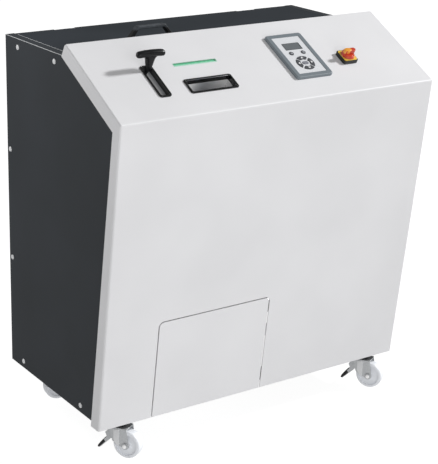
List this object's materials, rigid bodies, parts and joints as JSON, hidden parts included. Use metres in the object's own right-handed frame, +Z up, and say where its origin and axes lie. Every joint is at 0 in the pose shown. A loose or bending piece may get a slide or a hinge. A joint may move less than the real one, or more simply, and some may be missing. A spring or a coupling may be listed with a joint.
{
  "type": "hard drive crusher",
  "caption": "Floor-standing hard drive crusher with a sloped feed top, T-handled feed lever, control panel, hooked-disc cutter, waste drawer and casters.",
  "frame": {"origin": "centre of the bounding box in plan, on the floor under the casters", "axes": "+Z up, front faces -Y, +X to the right as seen from the front"},
  "size_m": [0.97, 0.6146, 1.0748],
  "materials": {
    "white_paint": "white semi-gloss powder coat",
    "anthracite_paint": "dark grey satin powder coat",
    "frame_paint": "satin paint",
    "zinc": "zinc plate",
    "black_plastic": "fine grain",
    "lever_black": "black satin paint",
    "stainless": "brushed",
    "bin_steel": "satin paint",
    "steel": "ground",
    "tool_steel": "ground tool steel",
    "cutter_iron": "machined",
    "bronze": "turned",
    "drive_paint": "enamel",
    "electrics": "zinc sheet with moulded switchgear",
    "light_green": "translucent",
    "bezel_grey": "fine grain",
    "face_light": "printed film",
    "display": "display glass",
    "board": "circuit board",
    "key_grey": "satin",
    "switch_yellow": "printed plate",
    "switch_red": "gloss",
    "wheel_nylon": "polyamide"
  },
  "bodies": {
    "body": {"front_cover": "white_paint", "side_panel_left": "anthracite_paint", "side_panel_right": "anthracite_paint", "side_frames": "frame_paint", "cross_rails": "frame_paint", "panel_screws": "zinc", "rear_panel": "anthracite_paint", "power_inlet": "black_plastic", "lid_hinges": "zinc", "lever_bezel": "black_plastic", "lever_guide": "stainless", "intake_bezel": "black_plastic", "feed_chute": "stainless", "light_bar": "light_green", "control_bezel": "bezel_grey", "control_face": "face_light", "display_window": "display", "control_board": "board", "switch_body": "black_plastic", "switch_plate": "switch_yellow", "feed_brackets": "zinc", "shaft_bushes": "bronze", "cutter_chutes": "frame_paint", "cutter_frame": "cutter_iron", "cutter_bearings": "bronze", "gearbox": "drive_paint", "motor": "drive_paint", "electrics_panel": "electrics", "drawer_runners": "zinc", "caster_plates": "zinc"},
    "lid": {"top_lid": "anthracite_paint", "bow_handle": "black_plastic"},
    "switch_knob": {"switch_knob": "switch_red"},
    "round_key_left": {"round_key_left": "key_grey"},
    "round_key_right": {"round_key_right": "key_grey"},
    "arrow_key_up": {"arrow_key_up": "key_grey"},
    "arrow_key_down": {"arrow_key_down": "key_grey"},
    "arrow_key_left": {"arrow_key_left": "key_grey"},
    "arrow_key_right": {"arrow_key_right": "key_grey"},
    "enter_key": {"enter_key": "key_grey"},
    "feed_lever": {"feed_lever": "lever_black", "lever_grip": "black_plastic", "lever_shaft": "steel", "feed_gate": "stainless"},
    "drawer": {"drawer_door": "white_paint", "waste_bin": "bin_steel"},
    "cutter_front": {"cutter_shaft_front": "steel", "cutter_discs_front": "tool_steel"},
    "cutter_rear": {"cutter_shaft_rear": "steel", "cutter_discs_rear": "tool_steel"},
    "fork_front_left": {"fork_front_left": "zinc"},
    "wheel_front_left": {"wheel_front_left": "wheel_nylon"},
    "brake_front_left": {"brake_pedal_front_left": "black_plastic"},
    "fork_front_right": {"fork_front_right": "zinc"},
    "wheel_front_right": {"wheel_front_right": "wheel_nylon"},
    "brake_front_right": {"brake_pedal_front_right": "black_plastic"},
    "fork_rear_left": {"fork_rear_left": "zinc"},
    "wheel_rear_left": {"wheel_rear_left": "wheel_nylon"},
    "fork_rear_right": {"fork_rear_right": "zinc"},
    "wheel_rear_right": {"wheel_rear_right": "wheel_nylon"}
  },
  "joints": [
    {"name": "lid_hinge", "type": "hinge", "parent": "body", "child": "lid", "pos_m": [0, 0.2975, 1.02575], "axis": [-1, 0, 0], "range_deg": [0, 95]},
    {"name": "main_switch_turn", "type": "hinge", "parent": "body", "child": "switch_knob", "pos_m": [0.272, -0.20231, 0.98899], "axis": [0, 0.4802, -0.8771], "range_deg": [0, 90]},
    {"name": "round_key_left_press", "type": "slide", "parent": "body", "child": "round_key_left", "axis": [0, 0.4802, -0.8771], "range_m": [0, 0.0005], "stiffness_N_per_m": 500, "springref_m": -0.0005},
    {"name": "round_key_right_press", "type": "slide", "parent": "body", "child": "round_key_right", "axis": [0, 0.4802, -0.8771], "range_m": [0, 0.0005], "stiffness_N_per_m": 500, "springref_m": -0.0005},
    {"name": "arrow_key_up_press", "type": "slide", "parent": "body", "child": "arrow_key_up", "axis": [0, 0.4802, -0.8771], "range_m": [0, 0.0005], "stiffness_N_per_m": 500, "springref_m": -0.0005},
    {"name": "arrow_key_down_press", "type": "slide", "parent": "body", "child": "arrow_key_down", "axis": [0, 0.4802, -0.8771], "range_m": [0, 0.0005], "stiffness_N_per_m": 500, "springref_m": -0.0005},
    {"name": "arrow_key_left_press", "type": "slide", "parent": "body", "child": "arrow_key_left", "axis": [0, 0.4802, -0.8771], "range_m": [0, 0.0005], "stiffness_N_per_m": 500, "springref_m": -0.0005},
    {"name": "arrow_key_right_press", "type": "slide", "parent": "body", "child": "arrow_key_right", "axis": [0, 0.4802, -0.8771], "range_m": [0, 0.0005], "stiffness_N_per_m": 500, "springref_m": -0.0005},
    {"name": "enter_key_press", "type": "slide", "parent": "body", "child": "enter_key", "axis": [0, 0.4802, -0.8771], "range_m": [0, 0.0005], "stiffness_N_per_m": 500, "springref_m": -0.0005},
    {"name": "feed_lever_pull", "type": "hinge", "parent": "body", "child": "feed_lever", "pos_m": [0, -0.1262, 0.88245], "axis": [1, 0, 0], "range_deg": [0, 37]},
    {"name": "drawer_slide", "type": "slide", "parent": "body", "child": "drawer", "axis": [0, -1, 0], "range_m": [0, 0.33]},
    {"name": "cutter_front_spin", "type": "hinge", "parent": "body", "child": "cutter_front", "pos_m": [-0.1745, -0.19425, 0.69], "axis": [1, 0, 0], "continuous": true},
    {"name": "cutter_rear_spin", "type": "hinge", "parent": "body", "child": "cutter_rear", "pos_m": [-0.1745, -0.10575, 0.69], "axis": [1, 0, 0], "continuous": true},
    {"name": "swivel_front_left", "type": "hinge", "parent": "body", "child": "fork_front_left", "pos_m": [-0.405, -0.1675, 0.084], "axis": [0, 0, 1], "continuous": true},
    {"name": "roll_front_left", "type": "hinge", "parent": "fork_front_left", "child": "wheel_front_left", "pos_m": [-0.39012, -0.19122, 0.0375], "axis": [-0.8471, -0.5314, 0], "continuous": true},
    {"name": "brake_front_left", "type": "hinge", "parent": "fork_front_left", "child": "brake_front_left", "pos_m": [-0.41138, -0.15734, 0.074], "axis": [-0.8471, -0.5314, 0], "range_deg": [0, 12]},
    {"name": "swivel_front_right", "type": "hinge", "parent": "body", "child": "fork_front_right", "pos_m": [0.405, -0.1675, 0.084], "axis": [0, 0, 1], "continuous": true},
    {"name": "roll_front_right", "type": "hinge", "parent": "fork_front_right", "child": "wheel_front_right", "pos_m": [0.41988, -0.19122, 0.0375], "axis": [-0.8471, -0.5314, 0], "continuous": true},
    {"name": "brake_front_right", "type": "hinge", "parent": "fork_front_right", "child": "brake_front_right", "pos_m": [0.39862, -0.15734, 0.074], "axis": [-0.8471, -0.5314, 0], "range_deg": [0, 12]},
    {"name": "swivel_rear_left", "type": "hinge", "parent": "body", "child": "fork_rear_left", "pos_m": [-0.41, 0.217, 0.084], "axis": [0, 0, 1], "continuous": true},
    {"name": "roll_rear_left", "type": "hinge", "parent": "fork_rear_left", "child": "wheel_rear_left", "pos_m": [-0.38229, 0.21296, 0.0375], "axis": [-0.1444, -0.9895, 0], "continuous": true},
    {"name": "swivel_rear_right", "type": "hinge", "parent": "body", "child": "fork_rear_right", "pos_m": [0.41, 0.217, 0.084], "axis": [0, 0, 1], "continuous": true},
    {"name": "roll_rear_right", "type": "hinge", "parent": "fork_rear_right", "child": "wheel_rear_right", "pos_m": [0.38229, 0.21296, 0.0375], "axis": [-0.1444, 0.9895, 0], "continuous": true}
  ],
  "couplings": [
    {"joint": "cutter_front_spin", "follows": "cutter_rear_spin", "ratio": -1}
  ]
}
